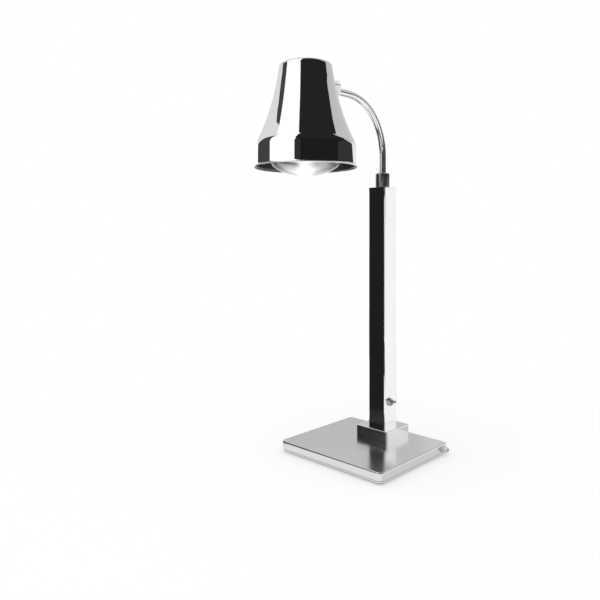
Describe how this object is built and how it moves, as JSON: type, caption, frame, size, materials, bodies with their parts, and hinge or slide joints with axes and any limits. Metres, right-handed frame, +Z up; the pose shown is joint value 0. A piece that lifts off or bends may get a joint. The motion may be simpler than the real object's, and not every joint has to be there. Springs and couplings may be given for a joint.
{
  "type": "food heat lamp",
  "caption": "Free-standing food heat lamp: square post on a flat base, bent tube arm and a swivelling bell shade with a reflector bulb.",
  "frame": {"origin": "on the floor, in the middle of the lamp's plan", "axes": "+Z up; +Y towards the back; the arm reaches towards -Y; +X is the side with the switch and the cord inlet"},
  "size_m": [0.2396, 0.3462, 0.688],
  "materials": {
    "polished_steel": "mirror",
    "satin_chrome": "satin",
    "satin_steel": "satin",
    "zinc_steel": "satin",
    "nickel": "bright",
    "brass": "bright",
    "black_rubber": "matte",
    "grey_nylon": "matte",
    "black_nylon": "matte",
    "black_phenolic": "matte",
    "porcelain": "glazed",
    "terminal_plastic": "matte",
    "bulb_glass": "frosted",
    "clear_glass": "clear",
    "tungsten": "matte",
    "silicone": "matte"
  },
  "bodies": {
    "base": {"base_cover": "satin_steel", "base_tray": "satin_steel", "rubber_feet": "black_rubber", "cover_standoffs": "zinc_steel", "tray_screws": "zinc_steel", "cable_gland": "grey_nylon", "gland_nut": "grey_nylon", "terminal_block": "terminal_plastic", "terminal_screws": "brass", "plinth": "polished_steel", "plinth_spacers": "zinc_steel", "post_bolts": "zinc_steel", "post_foot": "zinc_steel", "post": "polished_steel", "post_cap": "polished_steel", "switch_body": "black_phenolic", "switch_bushing": "nickel", "switch_terminals": "brass", "toggle_pin": "zinc_steel", "switch_washer": "nickel", "switch_nut": "nickel", "arm_ferrule": "polished_steel", "arm_set_screw": "zinc_steel", "ferrule_locknut": "zinc_steel", "supply_lead": "silicone", "riser_lead": "silicone"},
    "arm": {"arm_tube": "polished_steel", "arm_lead": "silicone", "swivel_barrel": "satin_chrome", "swivel_plug": "satin_chrome", "swivel_washer": "black_nylon"},
    "shade_head": {"swivel_pivot": "zinc_steel", "swivel_dome": "satin_chrome", "neck_nut": "zinc_steel", "shade": "polished_steel", "lampholder": "porcelain", "holder_sleeve": "brass", "holder_contact": "brass", "holder_screws": "zinc_steel", "bulb_glass": "bulb_glass", "bulb_cap": "brass", "bulb_stem": "clear_glass", "bulb_filament": "tungsten", "shade_lead": "silicone"},
    "toggle": {"toggle_lever": "nickel"}
  },
  "joints": [
    {"name": "arm_turn", "type": "hinge", "parent": "base", "child": "arm", "pos_m": [-0.00475, 0.12807, 0.521], "axis": [0, 0, 1], "range_deg": [-90, 90]},
    {"name": "shade_swivel", "type": "hinge", "parent": "arm", "child": "shade_head", "pos_m": [-0.00475, -0.01342, 0.66275], "axis": [0, 0, 1], "range_deg": [-90, 90]},
    {"name": "toggle_throw", "type": "hinge", "parent": "base", "child": "toggle", "pos_m": [0.01375, 0.12507, 0.086], "axis": [0, 1, 0], "range_deg": [0, 24]}
  ]
}
